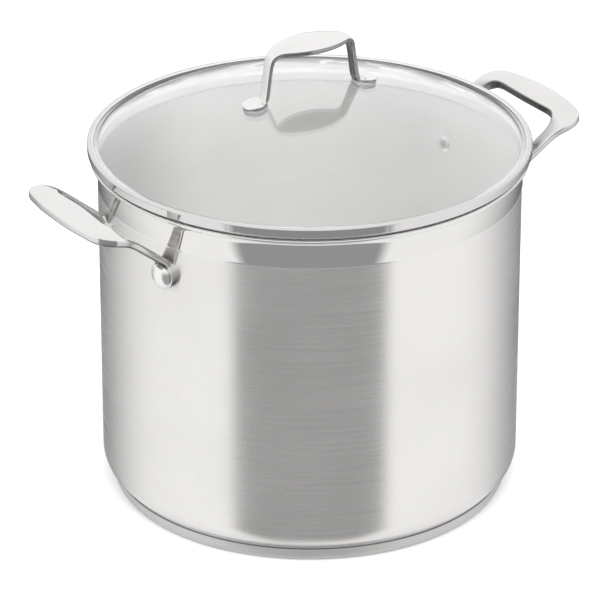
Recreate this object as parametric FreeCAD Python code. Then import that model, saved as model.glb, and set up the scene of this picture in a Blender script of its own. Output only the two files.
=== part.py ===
import FreeCAD, Part
import math
import os

# Covered stainless stockpot (water bath canner), millimetres.
# +Z is up, the origin is the centre of the base's underside, the handles lie along X.

V = FreeCAD.Vector
X_AXIS = V(1, 0, 0)
Y_AXIS = V(0, 1, 0)
Z_AXIS = V(0, 0, 1)
ORIGIN = V(0, 0, 0)

# ---- pot shell
BODY_R = 131.0            # outer radius of the straight wall
WALL = 1.0                # sheet thickness of the shell
FLOOR_Z = 8.0             # underside of the shell's floor
CORNER_R = 15.0           # outer radius between floor and wall
FLARE_R = 3.0             # inner bend radius of the pouring lip
LIP_TOP_Z = 220.9         # highest point of the lip's rolled bead
LIP_R = 135.6             # outermost radius of the bead
BEAD_R = 1.15             # radius of the rolled bead's section

# ---- bonded base
CAP_R = 124.2             # outer radius of the base cap
CAP_WALL = 1.0
CAP_EDGE_R = 4.0          # rounding under the cap's outer edge
CAP_RIM_Z = 9.2           # where the cap's turned-in rim meets the shell
GROOVE = 0.7              # depth of the line left between cap and shell

# ---- glass dome and its metal band
CROWN_Z = 260.8           # highest point of the glass
DOME_R = 273.0            # outer radius of the glass sphere
GLASS = 4.0
GLASS_R = 136.0           # radius of the glass's flat edge ring
RING_IN_R = 130.5         # where the dome turns into the flat ring
GLASS_TOP_Z = 228.1       # top of the flat ring
BAND_R = 137.0
BAND_WALL = 0.7
BAND_TOP_Z = 228.8
BAND_LIP_R = 133.4        # inner edge of the band's top flange
BAND_FOOT_Z = 223.3       # underside of the band beside the pot's lip
BAND_EDGE_R = 0.9         # rounding of the band's outer edges
BAND_STEP_R = 134.6       # where the band's slope down to its seat starts
BAND_SEAT_R = 132.2       # outer edge of the band's seat
SEAT_Z = 220.2            # underside of the band's inner step, just over the lip
SKIRT_R = 129.2           # outer radius of the skirt that centres the lid
SKIRT_Z = 215.5           # bottom of the skirt

# ---- lid handle
FOOT_X = 39.4             # distance of each foot from the lid's axis
PAD_R = 7.9
PAD_T = 2.0
PAD_EDGE_R = 0.8          # rounding of a foot's upper edge
GASKET_T = 1.1
BOSS_R = 3.2
LEG_W = 7.6
LID_GRIP_W = 29.0

# ---- lid screws
SCREW_R = 2.0
HEAD_R = 4.0
HEAD_H = 2.2
WASHER_R = 5.5
WASHER_T = 0.8
INNER_GASKET_R = 6.5
INNER_GASKET_T = 1.2
GLASS_HOLE_R = 3.5
RECESS_L = 4.4            # cross recess in a screw's head
RECESS_W = 0.9
RECESS_DEPTH = 1.2
SCREW_BITE = 4.0          # length of thread inside the boss
UNDER_GLASS_Z = CROWN_Z - GLASS
BOSS_FOOT_Z = UNDER_GLASS_Z + 0.4
INNER_GASKET_Z = UNDER_GLASS_Z - INNER_GASKET_T
WASHER_Z = INNER_GASKET_Z - WASHER_T

# ---- side handles
LUG_ANGLE = 16.3          # each lug's bearing from the X axis, degrees
LUG_Z = 182.8
LUG_R = 8.8
LUG_T = 4.0
RIVET_R = 2.2
RIVET_HEAD_R = 7.2
RIVET_HEAD_H = 4.0
INNER_HEAD_R = 6.2
INNER_HEAD_H = 1.8
RIVET_SEAT_GAP = 0.2      # how far a lug's rivet seat is wider than the rivet's head
SIDE_CROWN = 0.25         # arch across the strap of a side handle
SIDE_LEAN = 0.06          # fall of a side grip towards the pot, per unit of its width
STRAP_EDGE = 0.32         # radius of a strap's edges over its thickness
SIDE_SPACING = 4.0        # between sections along a side handle
LID_SPACING = 3.0         # between sections along the lid handle

# Stations of half a side handle, from its lug to the middle of its grip:
# centre x, y, z, bearing of the strap's run in plan (degrees), width, thickness.
SIDE_STATIONS = [
    (127.7, -37.3, 180.0, -16.3, 12.0, 4.0),
    (127.7, -37.3, 187.0, -16.3, 11.5, 4.0),
    (128.9, -37.6, 191.4, -15.0, 10.6, 4.0),
    (132.4, -38.2, 195.0, -12.0, 9.8, 4.2),
    (139.0, -39.3, 200.2, -9.5, 9.4, 4.5),
    (147.0, -40.5, 206.8, -7.0, 9.6, 4.6),
    (155.0, -41.2, 212.6, 0.0, 10.9, 5.1),
    (161.4, -40.4, 215.8, 19.0, 15.6, 6.0),
    (166.8, -37.0, 217.4, 50.0, 18.0, 6.4),
    (169.7, -30.0, 218.2, 76.0, 17.2, 6.0),
    (170.8, -20.0, 218.6, 85.0, 18.6, 5.6),
    (171.0, -10.0, 218.8, 89.0, 19.9, 5.5),
    (171.0, 0.0, 218.9, 90.0, 20.4, 5.5),
]

# Stations of half the lid handle, from a foot to the middle of the grip:
# centre x and z, width along Y, thickness, and how far the middle stands over the edges.
LID_STATIONS = [
    (-38.2, 259.4, 10.6, 2.2, 0.05),
    (-35.6, 260.1, 9.4, 2.4, 0.05),
    (-33.6, 261.6, 8.3, 2.6, 0.05),
    (-32.5, 264.4, 7.8, 2.7, 0.05),
    (-31.8, 268.5, LEG_W, 2.7, 0.05),
    (-31.1, 273.5, LEG_W, 2.7, 0.05),
    (-30.3, 279.0, LEG_W, 2.7, 0.08),
    (-29.5, 283.6, 7.9, 2.8, 0.1),
    (-28.2, 287.4, 9.2, 3.0, 0.2),
    (-25.0, 289.9, 12.4, 3.2, 0.5),
    (-19.0, 290.8, 19.0, 3.3, 1.2),
    (-10.0, 291.1, 26.2, 3.4, 1.8),
    (0.0, 291.2, LID_GRIP_W, 3.4, 2.1),
]


def revolve(edges):
    """A solid of revolution about Z from a closed outline in the XZ plane."""
    return Part.Face(Part.Wire(edges)).revolve(ORIGIN, Z_AXIS, 360)


def outline(points):
    """Edges through (r, z) points; a point given as (r, z, r2, z2) ends an arc that passes (r, z)."""
    edges = []
    here = V(points[0][0], 0, points[0][1])
    for point in points[1:] + points[:1]:
        end = V(point[-2], 0, point[-1])
        if len(point) == 4:
            edges.append(Part.Arc(here, V(point[0], 0, point[1]), end).toShape())
        elif (end - here).Length > 1e-6:
            edges.append(Part.LineSegment(here, end).toShape())
        here = end
    return edges


def on_arc(cr, cz, radius, degrees):
    """The (r, z) point of an arc about (cr, cz); 0 degrees points outwards and 90 up."""
    a = math.radians(degrees)
    return (cr + radius * math.cos(a), cz + radius * math.sin(a))


def tube(inner_r, outer_r, z0, z1):
    """A ring about Z; a disc where inner_r is 0."""
    ring = Part.makeCylinder(outer_r, z1 - z0, V(0, 0, z0))
    if inner_r > 0:
        ring = ring.cut(Part.makeCylinder(inner_r, z1 - z0 + 2, V(0, 0, z0 - 1)))
    return ring


def dome_head(radius, height, z0):
    """A domed rivet or screw head of the given radius that stands on z0, with a short straight edge."""
    edge = 0.25 * height
    sphere_r = (radius ** 2 + (height - edge) ** 2) / (2 * (height - edge))
    crown = on_arc(0, z0 + height - sphere_r, sphere_r, 90)
    half = math.degrees(math.asin(radius / sphere_r)) / 2
    middle = on_arc(0, z0 + height - sphere_r, sphere_r, 90 - half)
    return revolve(outline([(0, z0), (radius, z0), (radius, z0 + edge), middle + crown]))


def strap_section(centre, run, across, width, thickness, crown):
    """A rounded rectangle about centre, square to run; its width lies along across and arches by crown."""
    normal = run.cross(across).normalize()
    r = STRAP_EDGE * thickness
    w = width / 2
    t = thickness / 2
    k = r * (1 - math.sqrt(0.5))

    def at(a, n):
        return centre + across * a + normal * n

    corners = [(1, 1), (-1, 1), (-1, -1), (1, -1)]
    edges = []
    for index, (sa, sn) in enumerate(corners):
        flat_end = at(sa * (w - r), sn * t)
        side_end = at(sa * w, sn * (t - r))
        bend = at(sa * (w - k), sn * (t - k))
        ends = (side_end, flat_end) if index % 2 == 0 else (flat_end, side_end)
        edges.append(Part.Arc(ends[0], bend, ends[1]).toShape())
        na, nn = corners[(index + 1) % 4]
        if index % 2 == 0:
            next_start = at(na * (w - r), nn * t)
            edges.append(Part.Arc(ends[1], at(0, nn * t + crown), next_start).toShape())
        else:
            next_start = at(na * w, nn * (t - r))
            edges.append(Part.LineSegment(ends[1], next_start).toShape())
    return Part.Wire(edges)


def smooth(points, marks):
    """A smooth curve that passes each point at its mark."""
    curve = Part.BSplineCurve()
    curve.interpolate(Points=points, Parameters=marks)
    return curve


def spread(places, sizes, spacing):
    """Places and sizes at an even spacing along smooth curves through the given ones."""
    marks = [0.0]
    for start, end in zip(places, places[1:]):
        marks.append(marks[-1] + start.distanceToPoint(end))
    route = smooth(places, marks)
    growths = [smooth([V(m, v, 0) for m, v in zip(marks, values)], marks) for values in zip(*sizes)]
    count = round(marks[-1] / spacing)
    steps = [marks[-1] * i / count for i in range(count + 1)]
    return [route.value(s) for s in steps], [[g.value(s).y for g in growths] for s in steps]


def strap(centres, acrosses, sizes):
    """A cast strap through sections of the given width, thickness and crown, as one smooth loft."""
    wires = []
    last = len(centres) - 1
    for i, centre in enumerate(centres):
        run = (centres[min(i + 1, last)] - centres[max(i - 1, 0)]).normalize()
        across = (acrosses[i] - run * run.dot(acrosses[i])).normalize()
        wires.append(strap_section(centre, run, across, *sizes[i]))
    return Part.makeLoft(wires, True, False)


def onto_dome(shape, side):
    """Moves a piece built about the lid's axis to the foot at side * FOOT_X, square to the glass."""
    tilt = math.degrees(math.asin(FOOT_X / DOME_R))
    moved = shape.copy()
    moved.rotate(V(0, 0, CROWN_Z - DOME_R), Y_AXIS, side * tilt)
    return moved


def onto_wall(shape, bearing):
    """Moves a piece built along +X at height 0 to the lugs' height, at a bearing about Z."""
    moved = shape.copy()
    moved.translate(V(0, 0, LUG_Z))
    moved.rotate(ORIGIN, Z_AXIS, bearing)
    return moved


def bearing_of(side, end):
    """Bearing of a lug: side +1 is right and -1 left, end +1 is rear and -1 front."""
    return end * LUG_ANGLE if side > 0 else 180 - end * LUG_ANGLE


def wall_solid(radius):
    """A plain cylinder that spans the lugs' height."""
    return Part.makeCylinder(radius, 2 * LUG_Z, ORIGIN)


def make_pot_body():
    """Drawn shell: floor, rounded corner, straight wall and a flared lip with a rolled bead."""
    ri = BODY_R - WALL
    corner_r = BODY_R - CORNER_R
    corner_z = FLOOR_Z + CORNER_R
    bend_r = FLARE_R + WALL
    flare_r = ri + bend_r
    flare_z = LIP_TOP_Z - BEAD_R - WALL / 2 - FLARE_R
    bead_r = LIP_R - BEAD_R
    bead_z = LIP_TOP_Z - BEAD_R
    shell = revolve(outline([
        (0, FLOOR_Z),
        (corner_r, FLOOR_Z),
        on_arc(corner_r, corner_z, CORNER_R, -45) + (BODY_R, corner_z),
        (BODY_R, flare_z),
        on_arc(flare_r, flare_z, FLARE_R, 135) + (flare_r, flare_z + FLARE_R),
        (bead_r, flare_z + FLARE_R),
        (bead_r, flare_z + bend_r),
        (flare_r, flare_z + bend_r),
        on_arc(flare_r, flare_z, bend_r, 135) + (ri, flare_z),
        (ri, corner_z),
        on_arc(corner_r, corner_z, CORNER_R - WALL, -45) + (corner_r, FLOOR_Z + WALL),
        (0, FLOOR_Z + WALL),
    ]))
    bead = Part.makeTorus(bead_r, BEAD_R, V(0, 0, bead_z), Z_AXIS)
    shell = shell.fuse(bead).removeSplitter()
    hole = Part.makeCylinder(RIVET_R, 20, V(BODY_R - 10, 0, 0), X_AXIS)
    for side in (-1, 1):
        for end in (-1, 1):
            shell = shell.cut(onto_wall(hole, bearing_of(side, end)))
    return shell


def corner_height(r):
    """Height of the shell's outer corner at radius r."""
    corner_r = BODY_R - CORNER_R
    return FLOOR_Z + CORNER_R - math.sqrt(CORNER_R ** 2 - (r - corner_r) ** 2)


def make_base_core():
    """Aluminium disc sealed between the shell and the base cap."""
    r = CAP_R - CAP_WALL
    corner_r = BODY_R - CORNER_R
    middle_r = (corner_r + r) / 2
    return revolve(outline([
        (0, CAP_WALL),
        (r - CAP_EDGE_R, CAP_WALL),
        on_arc(r - CAP_EDGE_R, CAP_WALL + CAP_EDGE_R, CAP_EDGE_R, -45) + (r, CAP_WALL + CAP_EDGE_R),
        (r, corner_height(r)),
        (middle_r, corner_height(middle_r), corner_r, FLOOR_Z),
        (0, FLOOR_Z),
    ]))


def make_base_cap():
    """Steel cup around the core; its rim turns in to the shell and leaves a fine groove."""
    inner_r = CAP_R - CAP_WALL
    edge_r = CAP_EDGE_R + CAP_WALL
    centre_r = CAP_R - edge_r
    rim_r = CAP_R - GROOVE
    middle_r = (inner_r + rim_r) / 2
    return revolve(outline([
        (0, 0),
        (centre_r, 0),
        on_arc(centre_r, edge_r, edge_r, -45) + (CAP_R, edge_r),
        (CAP_R, CAP_RIM_Z - GROOVE),
        (rim_r, CAP_RIM_Z),
        (rim_r, corner_height(rim_r)),
        (middle_r, corner_height(middle_r), inner_r, corner_height(inner_r)),
        (inner_r, edge_r),
        on_arc(centre_r, edge_r, CAP_EDGE_R, -45) + (centre_r, CAP_WALL),
        (0, CAP_WALL),
    ]))


def make_side_handle(side):
    """Cast loop handle: two round lugs, two rising arms and a broad leaf-shaped grip."""
    stations = list(SIDE_STATIONS)
    for x, y, z, bearing, width, thickness in reversed(SIDE_STATIONS[:-1]):
        stations.append((x, -y, z, 180 - bearing, width, thickness))
    places = [V(s[0], s[1], s[2]) for s in stations]
    centres, sizes = spread(places, [s[3:] for s in stations], SIDE_SPACING)
    acrosses = []
    for bearing, width, thickness in sizes:
        a = math.radians(bearing + 90)
        acrosses.append(V(math.cos(a), math.sin(a), SIDE_LEAN * min(0, math.cos(a))))
    handle = strap(centres, acrosses, [size[1:] + [SIDE_CROWN] for size in sizes])
    lug = Part.makeCylinder(LUG_R, LUG_T + 2, V(BODY_R - 2, 0, 0), X_AXIS)
    for end in (-1, 1):
        handle = handle.fuse(onto_wall(lug, bearing_of(1, end)))
    handle = handle.cut(wall_solid(BODY_R))
    hole = Part.makeCylinder(RIVET_R, 30, V(BODY_R - 10, 0, 0), X_AXIS)
    seat = Part.makeCylinder(RIVET_HEAD_R + RIVET_SEAT_GAP, 8, V(BODY_R + LUG_T, 0, 0), X_AXIS)
    for end in (-1, 1):
        handle = handle.cut(onto_wall(hole, bearing_of(1, end)))
        handle = handle.cut(onto_wall(seat, bearing_of(1, end)))
    if side < 0:
        handle.rotate(ORIGIN, Z_AXIS, 180)
    return handle


def make_rivet(side, end):
    """Domed rivet through a lug and the wall, with a low head inside the pot."""
    outer = dome_head(RIVET_HEAD_R, RIVET_HEAD_H, BODY_R + LUG_T)
    shank = Part.makeCylinder(RIVET_R, WALL + LUG_T + 2, V(0, 0, BODY_R - WALL - 1))
    inner = dome_head(INNER_HEAD_R, INNER_HEAD_H + 1, 0)
    inner.rotate(ORIGIN, X_AXIS, 180)
    inner.translate(V(0, 0, BODY_R - WALL + 1))
    inner.rotate(ORIGIN, Y_AXIS, 90)
    inner = inner.common(Part.makeCylinder(BODY_R - WALL, 100, V(0, 0, -50)))
    rivet = outer.fuse(shank)
    rivet.rotate(ORIGIN, Y_AXIS, 90)
    return onto_wall(rivet.fuse(inner).removeSplitter(), bearing_of(side, end))


def dome_z(r, offset=0.0):
    """Height of the glass's outer sphere at radius r, or of a sphere offset inwards."""
    return CROWN_Z - DOME_R + math.sqrt((DOME_R - offset) ** 2 - r ** 2)


def make_lid_glass():
    """Tempered dome with a flat edge ring and two holes for the handle."""
    low_z = GLASS_TOP_Z - GLASS
    middle = RING_IN_R / 2
    inner_r = RING_IN_R - 1.5
    glass = revolve(outline([
        (0, CROWN_Z - GLASS),
        (middle, dome_z(middle, GLASS), inner_r, dome_z(inner_r, GLASS)),
        (inner_r + 0.3, low_z),
        (GLASS_R - 0.6, low_z),
        (GLASS_R, low_z + 0.6),
        (GLASS_R, GLASS_TOP_Z - 0.6),
        (GLASS_R - 0.6, GLASS_TOP_Z),
        (RING_IN_R + 0.5, GLASS_TOP_Z),
        (RING_IN_R - 0.3, dome_z(RING_IN_R - 0.3)),
        (middle, dome_z(middle), 0, CROWN_Z),
    ]))
    hole = Part.makeCylinder(GLASS_HOLE_R, 40, V(0, 0, CROWN_Z - 20))
    for side in (-1, 1):
        glass = glass.cut(onto_dome(hole, side))
    return glass


def make_lid_rim_band():
    """Rolled steel band around the glass's edge, with the step and skirt that centre the lid."""
    w = BAND_WALL
    inner_z = GLASS_TOP_Z - GLASS
    edge_r = BAND_R - BAND_EDGE_R
    high_z = BAND_TOP_Z - BAND_EDGE_R
    low_z = BAND_FOOT_Z + BAND_EDGE_R
    return revolve(outline([
        (BAND_LIP_R, GLASS_TOP_Z),
        (BAND_LIP_R + 0.15, BAND_TOP_Z - 0.12, BAND_LIP_R + 0.5, BAND_TOP_Z),
        (edge_r, BAND_TOP_Z),
        on_arc(edge_r, high_z, BAND_EDGE_R, 45) + (BAND_R, high_z),
        (BAND_R, low_z),
        on_arc(edge_r, low_z, BAND_EDGE_R, -45) + (edge_r, BAND_FOOT_Z),
        (BAND_STEP_R, BAND_FOOT_Z),
        (BAND_SEAT_R, SEAT_Z),
        (SKIRT_R, SEAT_Z),
        (SKIRT_R, SKIRT_Z),
        (SKIRT_R - w / 2, SKIRT_Z - w / 2, SKIRT_R - w, SKIRT_Z),
        (SKIRT_R - w, SEAT_Z + w),
        (BAND_SEAT_R - 0.4, SEAT_Z + w),
        (BAND_STEP_R - 0.5, inner_z),
        (BAND_R - w, inner_z),
        (BAND_R - w, GLASS_TOP_Z),
    ]))


def make_lid_handle():
    """Cast bridge handle: leaf-shaped grip, two thin legs and two round feet with threaded bosses."""
    stations = list(LID_STATIONS)
    for x, z, width, thickness, crown in reversed(LID_STATIONS[:-1]):
        stations.append((-x, z, width, thickness, crown))
    places = [V(s[0], 0, s[1]) for s in stations]
    centres, sizes = spread(places, [s[2:] for s in stations], LID_SPACING)
    handle = strap(centres, [Y_AXIS] * len(sizes), sizes)
    pad_z = CROWN_Z + GASKET_T
    pad_top = pad_z + PAD_T
    pad = revolve(outline([
        (0, pad_z),
        (PAD_R, pad_z),
        (PAD_R, pad_top - PAD_EDGE_R),
        on_arc(PAD_R - PAD_EDGE_R, pad_top - PAD_EDGE_R, PAD_EDGE_R, 45) + (PAD_R - PAD_EDGE_R, pad_top),
        (0, pad_top),
    ]))
    boss = tube(0, BOSS_R, BOSS_FOOT_Z, pad_z + 0.5)
    bore = tube(0, SCREW_R, BOSS_FOOT_Z - 1, BOSS_FOOT_Z + SCREW_BITE)
    below = Part.makeCylinder(4 * PAD_R, 20, V(0, 0, pad_z - 20))
    for side in (-1, 1):
        handle = handle.cut(onto_dome(below, side))
        handle = handle.fuse(onto_dome(pad.fuse(boss), side))
        handle = handle.cut(onto_dome(bore, side))
    return handle.removeSplitter()


def make_outer_gasket(side):
    """Rubber ring between a foot and the top of the glass."""
    gasket = tube(BOSS_R, PAD_R - 0.3, CROWN_Z - 1, CROWN_Z + GASKET_T)
    sphere = Part.makeSphere(DOME_R, V(0, 0, CROWN_Z - DOME_R))
    return onto_dome(gasket.cut(sphere), side)


def make_inner_gasket(side):
    """Rubber ring under the glass."""
    gasket = tube(SCREW_R, INNER_GASKET_R, INNER_GASKET_Z, UNDER_GLASS_Z + 1)
    sphere = Part.makeSphere(DOME_R - GLASS, V(0, 0, CROWN_Z - DOME_R))
    return onto_dome(gasket.common(sphere), side)


def make_washer(side):
    """Steel washer under the inner gasket."""
    return onto_dome(tube(SCREW_R, WASHER_R, WASHER_Z, INNER_GASKET_Z), side)


def make_lid_screw(side):
    """Pan-head screw with a cross recess, from inside the lid up into a boss."""
    head = dome_head(HEAD_R, HEAD_H, 0)
    head.rotate(ORIGIN, X_AXIS, 180)
    head.translate(V(0, 0, WASHER_Z))
    screw = head.fuse(tube(0, SCREW_R, WASHER_Z - 0.5, BOSS_FOOT_Z + SCREW_BITE))
    low = WASHER_Z - HEAD_H - 1
    for x, y in ((RECESS_L, RECESS_W), (RECESS_W, RECESS_L)):
        screw = screw.cut(Part.makeBox(x, y, 1 + RECESS_DEPTH, V(-x / 2, -y / 2, low)))
    return onto_dome(screw, side)


def main():
    nodes = {
        "pot_body": make_pot_body(),
        "base_core": make_base_core(),
        "base_cap": make_base_cap(),
        "lid_glass": make_lid_glass(),
        "lid_rim_band": make_lid_rim_band(),
        "lid_handle": make_lid_handle(),
    }
    for side, side_name in ((-1, "left"), (1, "right")):
        nodes["side_handle_" + side_name] = make_side_handle(side)
        for end, end_name in ((-1, "front"), (1, "rear")):
            nodes["rivet_%s_%s" % (side_name, end_name)] = make_rivet(side, end)
        nodes["outer_gasket_" + side_name] = make_outer_gasket(side)
        nodes["inner_gasket_" + side_name] = make_inner_gasket(side)
        nodes["lid_washer_" + side_name] = make_washer(side)
        nodes["lid_screw_" + side_name] = make_lid_screw(side)
    os.makedirs("parts", exist_ok=True)
    for name, shape in nodes.items():
        box = shape.BoundBox
        print("%-20s solids %d valid %s volume %.1f x %.1f..%.1f y %.1f..%.1f z %.1f..%.1f" % (
            name, len(shape.Solids), shape.isValid(), shape.Volume,
            box.XMin, box.XMax, box.YMin, box.YMax, box.ZMin, box.ZMax))
        shape.exportStep("parts/%s.step" % name)


main()
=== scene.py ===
"""A stainless stockpot with a glass lid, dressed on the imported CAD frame. Metres, row frame."""

import math

import bmesh
import bpy
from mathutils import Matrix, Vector


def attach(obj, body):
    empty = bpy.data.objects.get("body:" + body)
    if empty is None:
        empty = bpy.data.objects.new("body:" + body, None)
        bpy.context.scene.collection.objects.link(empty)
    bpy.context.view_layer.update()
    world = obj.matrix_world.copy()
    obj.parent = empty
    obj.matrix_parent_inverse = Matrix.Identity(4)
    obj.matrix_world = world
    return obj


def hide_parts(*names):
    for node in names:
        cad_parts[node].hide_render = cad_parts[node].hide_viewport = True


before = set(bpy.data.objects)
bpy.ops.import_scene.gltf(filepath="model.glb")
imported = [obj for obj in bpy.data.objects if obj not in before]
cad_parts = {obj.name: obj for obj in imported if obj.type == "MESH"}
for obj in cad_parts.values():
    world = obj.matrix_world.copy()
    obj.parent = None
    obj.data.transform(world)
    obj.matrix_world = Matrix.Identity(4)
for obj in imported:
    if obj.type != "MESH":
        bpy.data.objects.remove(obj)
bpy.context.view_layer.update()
scene = bpy.context.scene
MM = 0.001

# ---------------------------------------------------------------- node helpers


class Tree:
    """A material or world node tree with short calls for the nodes that the finishes share."""

    def __init__(self, owner):
        owner.use_nodes = True
        self.tree = owner.node_tree
        self.tree.nodes.clear()

    def node(self, kind, inputs=None, **settings):
        made = self.tree.nodes.new("ShaderNode" + kind)
        for key, value in settings.items():
            setattr(made, key, value)
        for key, value in (inputs or {}).items():
            self.feed(made.inputs[key], value)
        return made

    def feed(self, socket, value):
        if isinstance(value, bpy.types.NodeSocket):
            self.tree.links.new(value, socket)
        else:
            socket.default_value = value

    def math(self, operation, a, b=0.0, clamp=False):
        made = self.node("Math", {0: a, 1: b}, operation=operation, use_clamp=clamp)
        return made.outputs[0]

    def xyz(self, x, y, z):
        return self.node("CombineXYZ", {0: x, 1: y, 2: z}).outputs[0]

    def noise(self, vector, scale, detail=3.0, rough=0.55):
        made = self.node("TexNoise", {"Vector": vector, "Scale": scale, "Detail": detail, "Roughness": rough})
        return made.outputs["Fac"]

    def ramp(self, value, low, high, to_low=0.0, to_high=1.0):
        made = self.node(
            "MapRange",
            {"Value": value, "From Min": low, "From Max": high, "To Min": to_low, "To Max": to_high},
            interpolation_type="SMOOTHSTEP",
        )
        return made.outputs[0]

    def mix(self, factor, a, b):
        made = self.node("Mix", data_type="RGBA")
        self.feed(made.inputs[0], factor)
        self.feed(made.inputs[6], a)
        self.feed(made.inputs[7], b)
        return made.outputs[2]

    def bump(self, height, strength, distance):
        made = self.node("Bump", {"Height": height, "Strength": strength, "Distance": distance})
        return made.outputs[0]


# ---------------------------------------------------------------- finishes

SHADED_SIDE = (-0.843, 0.537)  # direction of the side of the inner wall that gets painted shade
SEAM_HALF = 0.0002           # half the width of the line between base cap and shell
SEAM_EDGE = 0.0005           # where the line's soft edge ends
SEAT_SOFT = 0.0008           # width over which the band's polish ends at its seat
ROLL_DEPTH = -70.0           # fall of the band's rolled edge, per metre squared


def rgb(level, warmth=0.0):
    """Grey of the given level, a little warmer or cooler."""
    return (level * (1.0 + warmth), level, level * (1.0 - warmth), 1.0)


def polar(tree):
    """Unit direction round the vertical axis, and the distance along a turned outline."""
    place = tree.node("TexCoord").outputs["Object"]
    split = tree.node("SeparateXYZ", {0: place})
    x, y, z = split.outputs
    radius = tree.math("SQRT", tree.math("ADD", tree.math("MULTIPLY", x, x), tree.math("MULTIPLY", y, y)))
    safe = tree.math("MAXIMUM", radius, 1e-5)
    return place, tree.math("DIVIDE", x, safe), tree.math("DIVIDE", y, safe), z, radius


def brushed(name, level, rough, streak, lines, anisotropy, grime=0.06, warmth=0.016, metal=1.0, seam=None,
            dim=0.0):
    """Steel brushed in rings round the vertical axis, with worn patches and faint smears.

    seam is the height of a dark line round it, and dim says how much painted shade darkens the side at
    SHADED_SIDE."""
    mat = bpy.data.materials.new(name)
    t = Tree(mat)
    place, dx, dy, z, radius = polar(t)
    along = t.math("ADD", radius, z)
    fine = t.noise(t.xyz(t.math("MULTIPLY", dx, 3.0), t.math("MULTIPLY", dy, 3.0),
                         t.math("MULTIPLY", along, lines)), 1.0, 5.0, 0.7)
    coarse = t.noise(t.xyz(t.math("MULTIPLY", dx, 1.3), t.math("MULTIPLY", dy, 1.3),
                           t.math("MULTIPLY", along, lines * 0.22)), 1.0, 3.0, 0.6)
    smear = t.noise(place, 14.0, 3.0, 0.5)
    line = t.math("ADD", t.math("MULTIPLY", fine, 0.65), t.math("MULTIPLY", coarse, 0.35))
    shade = t.ramp(line, 0.3, 0.7)
    patch = t.ramp(smear, 0.35, 0.75)
    colour = t.mix(shade, rgb(level * (1.0 - streak), warmth), rgb(level, warmth))
    colour = t.mix(t.math("MULTIPLY", patch, grime), colour, rgb(level * 0.72, warmth * 2.0))
    if seam:
        above = t.ramp(z, seam - SEAM_EDGE, seam - SEAM_HALF)
        below = t.ramp(z, seam + SEAM_HALF, seam + SEAM_EDGE, 1.0, 0.0)
        colour = t.mix(t.math("MULTIPLY", above, below), colour, rgb(0.18))
    # Painted shade: the side of the wall that faces SHADED_SIDE is mixed towards a darker grey, as if less
    # light fell there.
    if dim:
        facing = t.math("ADD", t.math("MULTIPLY", dx, SHADED_SIDE[0]), t.math("MULTIPLY", dy, SHADED_SIDE[1]))
        colour = t.mix(t.ramp(facing, 0.5, 1.0, 0.0, dim), colour, rgb(level * 0.4, warmth))
    roughness = t.math("ADD", t.math("MULTIPLY", shade, rough * 0.45), rough * 0.75)
    roughness = t.math("ADD", roughness, t.math("MULTIPLY", patch, rough * 0.25), clamp=True)
    shader = t.node("BsdfPrincipled", {
        "Base Color": colour,
        "Metallic": metal,
        "Roughness": roughness,
        "Anisotropic": anisotropy,
        "Anisotropic Rotation": 0.25,
        "Normal": t.bump(fine, 0.03, 0.00002),
    })
    if anisotropy:
        t.feed(shader.inputs["Tangent"], t.node("Tangent", direction_type="RADIAL", axis="Z").outputs[0])
    t.node("OutputMaterial", {"Surface": shader.outputs[0]})
    return mat


def painted_shade_mask(tree, place, edges):
    """Mask for painted shade: 1 on faces that look down or in at the vertical axis, and edges on the faces
    that look along Y.
    """
    split = tree.node("SeparateXYZ", {0: tree.node("TexCoord").outputs["Normal"]})
    x, y = place.outputs[0], place.outputs[1]
    reach = tree.math("SQRT", tree.math("ADD", tree.math("MULTIPLY", x, x), tree.math("MULTIPLY", y, y)))
    outward = tree.math("ADD", tree.math("MULTIPLY", split.outputs[0], x),
                        tree.math("MULTIPLY", split.outputs[1], y))
    outward = tree.math("DIVIDE", outward, tree.math("MAXIMUM", reach, 0.001))
    under = tree.ramp(split.outputs[2], -0.55, 0.25, 1.0, 0.0)
    inner = tree.ramp(outward, -0.9, -0.35, 1.0, 0.0)
    edge = tree.ramp(tree.math("ABSOLUTE", split.outputs[1]), 0.5, 0.85, 0.0, edges)
    return tree.math("MAXIMUM", tree.math("MAXIMUM", under, inner), edge)


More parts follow.
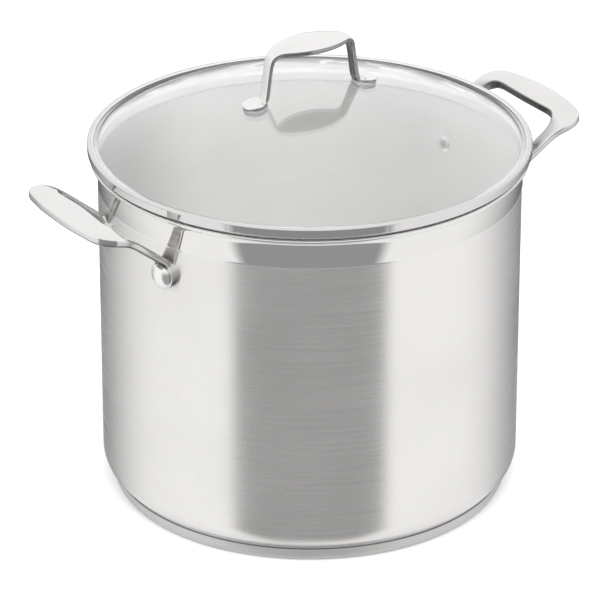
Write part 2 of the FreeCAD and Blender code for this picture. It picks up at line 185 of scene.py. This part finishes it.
def polished(name, level, rough, grain=900.0, ripple=0.05, warmth=0.012, scuff=0.08, cast=0.0, edges=0.0,
             seat=0.0, rolled=0.0):
    """Buffed steel: a mirror with faint orange-peel, hairline scuffs and duller patches.

    cast paints shade on the faces that look down or in at the vertical axis, and edges adds painted shade to
    the faces that look along Y.
    Inside the radius seat the metal is dull, and outside the radius rolled a band's top falls away."""
    mat = bpy.data.materials.new(name)
    t = Tree(mat)
    place = t.node("TexCoord").outputs["Object"]
    split = t.node("SeparateXYZ", {0: place})
    stretched = t.xyz(t.math("MULTIPLY", split.outputs[0], 0.25), split.outputs[1],
                      t.math("MULTIPLY", split.outputs[2], 1.6))
    hair = t.noise(stretched, grain, 4.0, 0.65)
    peel = t.noise(place, 160.0, 2.0, 0.5)
    cloud = t.noise(place, 26.0, 3.0, 0.55)
    marks = t.ramp(hair, 0.58, 0.75)
    dull = t.ramp(cloud, 0.4, 0.8)
    colour = t.mix(t.math("MULTIPLY", marks, scuff), rgb(level, warmth), rgb(level * 0.7, warmth))
    colour = t.mix(t.math("MULTIPLY", dull, scuff * 0.8), colour, rgb(level * 0.82, warmth * 2.0))
    # Painted shade: faces that look down, in at the axis or along Y are mixed towards a near-black grey.
    if cast:
        colour = t.mix(t.math("MULTIPLY", painted_shade_mask(t, split, edges), cast), colour, rgb(level * 0.1, warmth))
    roughness = t.math("ADD", t.math("MULTIPLY", dull, rough * 0.7), rough * 0.7)
    roughness = t.math("ADD", roughness, t.math("MULTIPLY", marks, rough * 0.6), clamp=True)
    height = t.math("ADD", t.math("MULTIPLY", peel, 0.8), t.math("MULTIPLY", hair, 0.2))
    normal = t.bump(height, ripple, 0.0002)
    metal = 1.0
    if seat:
        radius = polar(t)[4]
        hidden = t.ramp(radius, seat, seat + SEAT_SOFT, 1.0, 0.0)
        roughness = t.math("ADD", roughness, t.math("MULTIPLY", hidden, 0.4), clamp=True)
        metal = t.math("SUBTRACT", 1.0, t.math("MULTIPLY", hidden, 0.85))
        colour = t.mix(hidden, colour, rgb(0.66, warmth))
        past = t.math("MAXIMUM", t.math("SUBTRACT", radius, rolled), 0.0)
        fall = t.math("MULTIPLY", t.math("MULTIPLY", past, past), ROLL_DEPTH)
        rolled_edge = {"Height": fall, "Strength": 1.0, "Distance": 1.0, "Normal": normal}
        normal = t.node("Bump", rolled_edge).outputs[0]
    shader = t.node("BsdfPrincipled", {
        "Base Color": colour,
        "Metallic": metal,
        "Roughness": roughness,
        "Normal": normal,
    })
    t.node("OutputMaterial", {"Surface": shader.outputs[0]})
    return mat


def cast_aluminium(name):
    """The sandwich layer's rim: dull grey with a fine sandy bump."""
    mat = bpy.data.materials.new(name)
    t = Tree(mat)
    place = t.node("TexCoord").outputs["Object"]
    sand = t.noise(place, 1400.0, 3.0, 0.6)
    cloud = t.noise(place, 30.0, 3.0, 0.5)
    colour = t.mix(cloud, rgb(0.5, 0.0), rgb(0.66, 0.004))
    shader = t.node("BsdfPrincipled", {
        "Base Color": colour,
        "Metallic": 1.0,
        "Roughness": t.ramp(sand, 0.3, 0.7, 0.35, 0.55),
        "Normal": t.bump(sand, 0.3, 0.0001),
    })
    t.node("OutputMaterial", {"Surface": shader.outputs[0]})
    return mat


def pane(name):
    """Tempered glass: clear with a grey-green body, polishing haze and a few fine wipe marks."""
    mat = bpy.data.materials.new(name)
    t = Tree(mat)
    place = t.node("TexCoord").outputs["Object"]
    wipe = t.noise(place, 22.0, 4.0, 0.6)
    speck = t.noise(place, 1800.0, 2.0, 0.5)
    haze = t.math("ADD", t.ramp(wipe, 0.45, 0.8, 0.0, 0.03), t.ramp(speck, 0.6, 0.8, 0.0, 0.02))
    colour = t.mix(t.ramp(wipe, 0.3, 0.8), (0.965, 0.975, 0.97, 1.0), (0.93, 0.945, 0.94, 1.0))
    shader = t.node("BsdfPrincipled", {
        "Base Color": colour,
        "Roughness": haze,
        "IOR": 1.54,
        "Specular IOR Level": 1.0,
        "Transmission Weight": 1.0,
        "Coat Weight": 1.0,
        "Coat IOR": 1.7,
        "Coat Roughness": 0.01,
        "Normal": t.bump(wipe, 0.02, 0.0004),
    })
    t.node("OutputMaterial", {"Surface": shader.outputs[0]})
    return mat


def rubber(name):
    """Pale silicone: fine matt grain with lighter rubbed patches."""
    mat = bpy.data.materials.new(name)
    t = Tree(mat)
    place = t.node("TexCoord").outputs["Object"]
    grain = t.noise(place, 2600.0, 3.0, 0.6)
    cloud = t.noise(place, 180.0, 2.0, 0.5)
    colour = t.mix(cloud, rgb(0.42), rgb(0.55))
    shader = t.node("BsdfPrincipled", {
        "Base Color": colour,
        "Roughness": t.ramp(grain, 0.3, 0.7, 0.5, 0.75),
        "Normal": t.bump(grain, 0.35, 0.00008),
    })
    t.node("OutputMaterial", {"Surface": shader.outputs[0]})
    return mat


CAP_SEAM = 0.0087  # height of the line between base cap and shell
BAND_LIP = 0.1335  # radius of the inner edge of the lid band's top

SATIN = brushed("satin_wall", 0.90, 0.25, 0.06, 4200.0, 0.95)
BAND = polished("mirror_band", 0.84, 0.05)
# The inner wall gets painted shade on one side through dim.
INNER = brushed("inner_wall", 0.95, 0.45, 0.05, 3000.0, 0.3, warmth=0.01, metal=0.70, dim=0.95)
FLOOR = brushed("inner_floor", 0.72, 0.38, 0.05, 3000.0, 0.3, warmth=0.008, metal=0.9)
BASE = brushed("turned_base", 0.67, 0.5, 0.18, 3600.0, 0.3, metal=0.8, seam=CAP_SEAM)
# The side handles and the lid's arch carry painted shade on their under, inner and side faces through cast.
CAST = polished("cast_steel", 0.85, 0.16, 700.0, 0.07, scuff=0.35, cast=0.92)
ARCH = polished("cast_arch", 0.90, 0.14, 700.0, 0.06, scuff=0.2, cast=0.92, edges=0.75)
RIVET = polished("rivet_steel", 0.94, 0.26, 1500.0, 0.06)
RIM = polished("lid_band_steel", 0.74, 0.07, 1200.0, 0.03, seat=BAND_LIP, rolled=BAND_LIP)
SCREW = polished("screw_steel", 0.74, 0.2, 2500.0, 0.08)
CORE = cast_aluminium("core_aluminium")
GLASS = pane("lid_glass")
RUBBER = rubber("gasket_rubber")

# ---------------------------------------------------------------- mesh helpers


def arc(cx, cz, radius, start, end, steps):
    """Points of an arc in the radius-height plane, angles in degrees."""
    points = []
    for i in range(steps + 1):
        angle = math.radians(start + (end - start) * i / steps)
        points.append((cx + radius * math.cos(angle), cz + radius * math.sin(angle)))
    return points


def turned(name, outline, body, materials, pick=None, segments=288):
    """A closed outline of (radius, height) in mm turned round Z; an end on the axis becomes a point."""
    bm = bmesh.new()
    rings = []
    for radius, height in outline:
        if radius < 1e-6:
            rings.append([bm.verts.new((0.0, 0.0, height * MM))])
            continue
        ring = []
        for i in range(segments):
            angle = 2 * math.pi * i / segments
            x, y = radius * math.cos(angle), radius * math.sin(angle)
            ring.append(bm.verts.new((x * MM, y * MM, height * MM)))
        rings.append(ring)
    closed = len(rings[0]) > 1
    pairs = list(zip(range(len(rings) - 1), range(1, len(rings))))
    if closed:
        pairs.append((len(rings) - 1, 0))
    for a, b in pairs:
        low, high = rings[a], rings[b]
        for i in range(segments):
            j = (i + 1) % segments
            corners = [low[i % len(low)], low[j % len(low)], high[j % len(high)], high[i % len(high)]]
            face = bm.faces.new(list(dict.fromkeys(corners)))
            face.smooth = True
            if pick:
                middle = ((outline[a][0] + outline[b][0]) / 2, (outline[a][1] + outline[b][1]) / 2)
                face.material_index = pick(*middle)
    bmesh.ops.recalc_face_normals(bm, faces=bm.faces)
    mesh = bpy.data.meshes.new(name)
    bm.to_mesh(mesh)
    bm.free()
    for material in materials:
        mesh.materials.append(material)
    mesh.set_sharp_from_angle(angle=math.radians(35))
    made = bpy.data.objects.new(name, mesh)
    scene.collection.objects.link(made)
    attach(made, body)
    return made


# ---------------------------------------------------------------- pot shell, mm

BODY_R = 131.0    # outer radius of the straight wall
WALL = 1.0
FLOOR_Z = 8.0     # underside of the floor
CORNER_R = 15.0   # outer radius between floor and wall
FLARE_R = 136.0   # centre of the bend that flares the lip
FLARE_Z = 214.25
LIP_Z = 214.0     # above this the lip is polished inside too
POLISH_Z = 201.2  # where the satin wall ends and the polished band starts
STEP = 0.18       # how far the polished band stands back


def pot_outline():
    """Outer skin up to the rolled lip, then down the inside to the floor's centre."""
    outer = [(0.0, FLOOR_Z)]
    outer += [(r, FLOOR_Z) for r in (20.0, 60.0, 100.0)]
    outer += arc(BODY_R - CORNER_R, FLOOR_Z + CORNER_R, CORNER_R, -90, 0, 14)
    outer += [(BODY_R, z) for z in (60.0, 100.0, 140.0, 180.0, POLISH_Z - 0.6, POLISH_Z - 0.3)]
    outer += [(BODY_R - STEP, POLISH_Z), (BODY_R - STEP, POLISH_Z + 0.5), (BODY_R - 0.02, POLISH_Z + 1.0)]
    outer += arc(FLARE_R, FLARE_Z, FLARE_R - BODY_R, 180, 122, 12)
    outer += arc(134.45, 219.75, 1.15, -110, 172, 16)
    inner = arc(FLARE_R, FLARE_Z, FLARE_R - BODY_R + WALL, 116, 180, 12)
    inner += [(BODY_R - WALL, z) for z in (180.0, 140.0, 100.0, 60.0)]
    inner += arc(BODY_R - CORNER_R, FLOOR_Z + CORNER_R, CORNER_R - WALL, 0, -90, 14)
    inner += [(r, FLOOR_Z + 1.0) for r in (100.0, 60.0, 20.0)]
    return outer + inner + [(0.0, FLOOR_Z + 1.0)]


def pot_finish(radius, height):
    """0 satin outside, 1 mirror band and lip, 2 satin inside, 3 the floor inside."""
    if height > LIP_Z:
        return 1
    if radius < BODY_R - 18.0 and height > FLOOR_Z + 0.5:
        return 3
    if radius < BODY_R - 0.5 * WALL and height > FLOOR_Z + 0.5 and not outer_corner(radius, height):
        return 2
    return 1 if height > POLISH_Z - 0.2 else 0


def outer_corner(radius, height):
    """True on the outside of the rounded lower corner."""
    across = radius - (BODY_R - CORNER_R)
    down = FLOOR_Z + CORNER_R - height
    return across > 0 and down > 0 and math.hypot(across, down) > CORNER_R - 0.5 * WALL


shell = turned("pot_shell", pot_outline(), "pot", [SATIN, BAND, INNER, FLOOR], pot_finish)
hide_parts("pot_body")

# ---------------------------------------------------------------- lid glass, mm

CROWN_Z = 260.8      # highest point of the dome
DOME_R = 273.0       # outer radius of the dome's sphere
GLASS_T = 4.0
GLASS_R = 136.0      # radius of the flat edge ring
RING_IN_R = 130.5    # where the dome turns into the ring
GLASS_TOP_Z = 228.1  # top of the ring


def dome(z, radius, start, end, steps):
    """Points down a dome whose crown is at z, between two radii."""
    points = []
    for i in range(steps + 1):
        r = start + (end - start) * i / steps
        points.append((r, z - radius + math.sqrt(radius ** 2 - r ** 2)))
    return points


def glass_outline():
    """Outer skin from the crown to the flat edge ring, then back under the dome."""
    outline = dome(CROWN_Z, DOME_R, 0.0, RING_IN_R - 0.3, 40)
    outline += [(RING_IN_R + 0.5, GLASS_TOP_Z), (GLASS_R - 0.6, GLASS_TOP_Z), (GLASS_R, GLASS_TOP_Z - 0.6)]
    outline += [(GLASS_R, GLASS_TOP_Z - GLASS_T + 0.6), (GLASS_R - 0.6, GLASS_TOP_Z - GLASS_T)]
    outline += [(RING_IN_R - 1.2, GLASS_TOP_Z - GLASS_T)]
    return outline + dome(CROWN_Z - GLASS_T, DOME_R - GLASS_T, RING_IN_R - 1.5, 0.0, 40)


glass = turned("lid_pane", glass_outline(), "lid", [GLASS])
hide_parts("lid_glass")
glass.visible_shadow = False

# ---------------------------------------------------------------- carried-over nodes

FINISHES = {
    "base_core": CORE,
    "base_cap": BASE,
    "side_handle_left": CAST,
    "side_handle_right": CAST,
    "rivet_left_front": RIVET,
    "rivet_left_rear": RIVET,
    "rivet_right_front": RIVET,
    "rivet_right_rear": RIVET,
    "lid_rim_band": RIM,
    "lid_handle": ARCH,
    "outer_gasket_left": RUBBER,
    "outer_gasket_right": RUBBER,
    "inner_gasket_left": RUBBER,
    "inner_gasket_right": RUBBER,
    "lid_washer_left": SCREW,
    "lid_washer_right": SCREW,
    "lid_screw_left": SCREW,
    "lid_screw_right": SCREW,
}
for node_name, finish in FINISHES.items():
    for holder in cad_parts[node_name].material_slots:
        holder.material = finish

# ---------------------------------------------------------------- studio

CAMERA_AZIMUTH = math.radians(-32.5)
CAMERA_RISE = math.radians(25.56)
CAMERA_DISTANCE = 2.612
CAMERA_AIM = Vector((-0.00514, 0.00327, 0.11808))
LENS = 250.16


def toward(bearing, rise=0.0):
    """Unit vector from the pot: degrees clockwise from the camera's side, and degrees above the floor."""
    angle = CAMERA_AZIMUTH - math.radians(bearing)
    flat = math.cos(math.radians(rise))
    return Vector((math.sin(angle) * flat, -math.cos(angle) * flat, math.sin(math.radians(rise))))


def sheet(name, corners, material):
    """A thin flat stage card through the given corners."""
    mesh = bpy.data.meshes.new(name)
    mesh.from_pydata([tuple(c) for c in corners], [], [tuple(range(len(corners)))])
    mesh.materials.append(material)
    made = bpy.data.objects.new(name, mesh)
    scene.collection.objects.link(made)
    return made


def paper(name, low, high):
    """Matt paper, faintly uneven between two levels."""
    mat = bpy.data.materials.new(name)
    t = Tree(mat)
    place = t.node("TexCoord").outputs["Object"]
    colour = t.mix(t.noise(place, 3.0, 2.0, 0.5), rgb(low), rgb(high))
    shader = t.node("BsdfPrincipled", {"Base Color": colour, "Roughness": 0.9, "Specular IOR Level": 0.1})
    t.node("OutputMaterial", {"Surface": shader.outputs[0]})
    return mat


FLOOR_HALF = 6.0
floor_corners = [(x * FLOOR_HALF, y * FLOOR_HALF, 0) for x, y in ((-1, -1), (1, -1), (1, 1), (-1, 1))]
floor = sheet("floor", floor_corners, paper("floor_paper", 0.93, 0.95))
floor.visible_glossy = False


def softbox(name, bearing, rise, distance, width, height, power):
    """A soft rectangular light aimed at the pot, which the metal doesn't mirror."""
    aim = Vector((0.0, 0.0, 0.12))
    light = bpy.data.lights.new(name, "AREA")
    light.shape = "RECTANGLE"
    light.size = width
    light.size_y = height
    light.energy = power
    made = bpy.data.objects.new(name, light)
    made.location = toward(bearing, rise) * distance + aim
    made.rotation_euler = (aim - made.location).to_track_quat("-Z", "Y").to_euler()
    made.visible_glossy = False
    scene.collection.objects.link(made)
    return made


softbox("fill_softbox", 0, 55, 3.0, 3.0, 3.0, 100)

# What the metal sees low down, by degrees off the camera's side: a grey card in front, a bright wall on each
# side of it, and an unlit room behind.
CARD_LEVEL = 0.33
CARD_START = 37.0
CARD_END = 47.0
SIDE_LEVEL = 0.98
ROOM_START = 85.0
ROOM_END = 175.0
ROOM_LEVEL = 0.15
world = bpy.data.worlds.new("studio")
scene.world = world
w = Tree(world)
look = w.node("SeparateXYZ", {0: w.node("TexCoord").outputs["Generated"]})
side = toward(90)
ahead = toward(0)
look_x, look_y, rise = look.outputs
to_side = w.math("ADD", w.math("MULTIPLY", look_x, side.x), w.math("MULTIPLY", look_y, side.y))
to_front = w.math("ADD", w.math("MULTIPLY", look_x, ahead.x), w.math("MULTIPLY", look_y, ahead.y))
bearing = w.math("ARCTAN2", to_side, to_front)
off_front = w.math("ABSOLUTE", w.math("MULTIPLY", bearing, 180 / math.pi))
sides = w.ramp(off_front, ROOM_START, ROOM_END, SIDE_LEVEL, ROOM_LEVEL)
ring = w.mix(w.ramp(off_front, CARD_START, CARD_END), rgb(CARD_LEVEL), sides)
# The pale floor shows under the ring, from further down in front than behind.
limit = w.ramp(to_front, -0.3, 0.3, 0.60, 0.96)
low = w.mix(w.ramp(w.math("ADD", rise, limit), -0.07, 0.07), rgb(0.92), ring)
# The bright sky starts lower behind the pot than in front of it, between these two rises.
behind = w.ramp(to_front, -0.85, -0.35, 1.0, 0.0)
dusk = w.math("ADD", w.math("MULTIPLY", behind, -0.33), -0.02)
day = w.math("ADD", w.math("MULTIPLY", behind, -0.45), 0.48)
glow = w.mix(w.ramp(rise, dusk, day), low, rgb(0.98))
w.node("OutputWorld", {"Surface": w.node("Background", {"Color": glow, "Strength": 1.0}).outputs[0]})

camera = bpy.data.objects.new("camera", bpy.data.cameras.new("camera"))
camera.data.lens = LENS
camera.data.sensor_width = 36.0
camera.data.clip_end = 40.0
back = toward(0.0, math.degrees(CAMERA_RISE))
camera.location = CAMERA_AIM + back * CAMERA_DISTANCE
camera.rotation_euler = back.to_track_quat("Z", "Y").to_euler()
scene.collection.objects.link(camera)
scene.camera = camera
scene.view_settings.view_transform = "Standard"
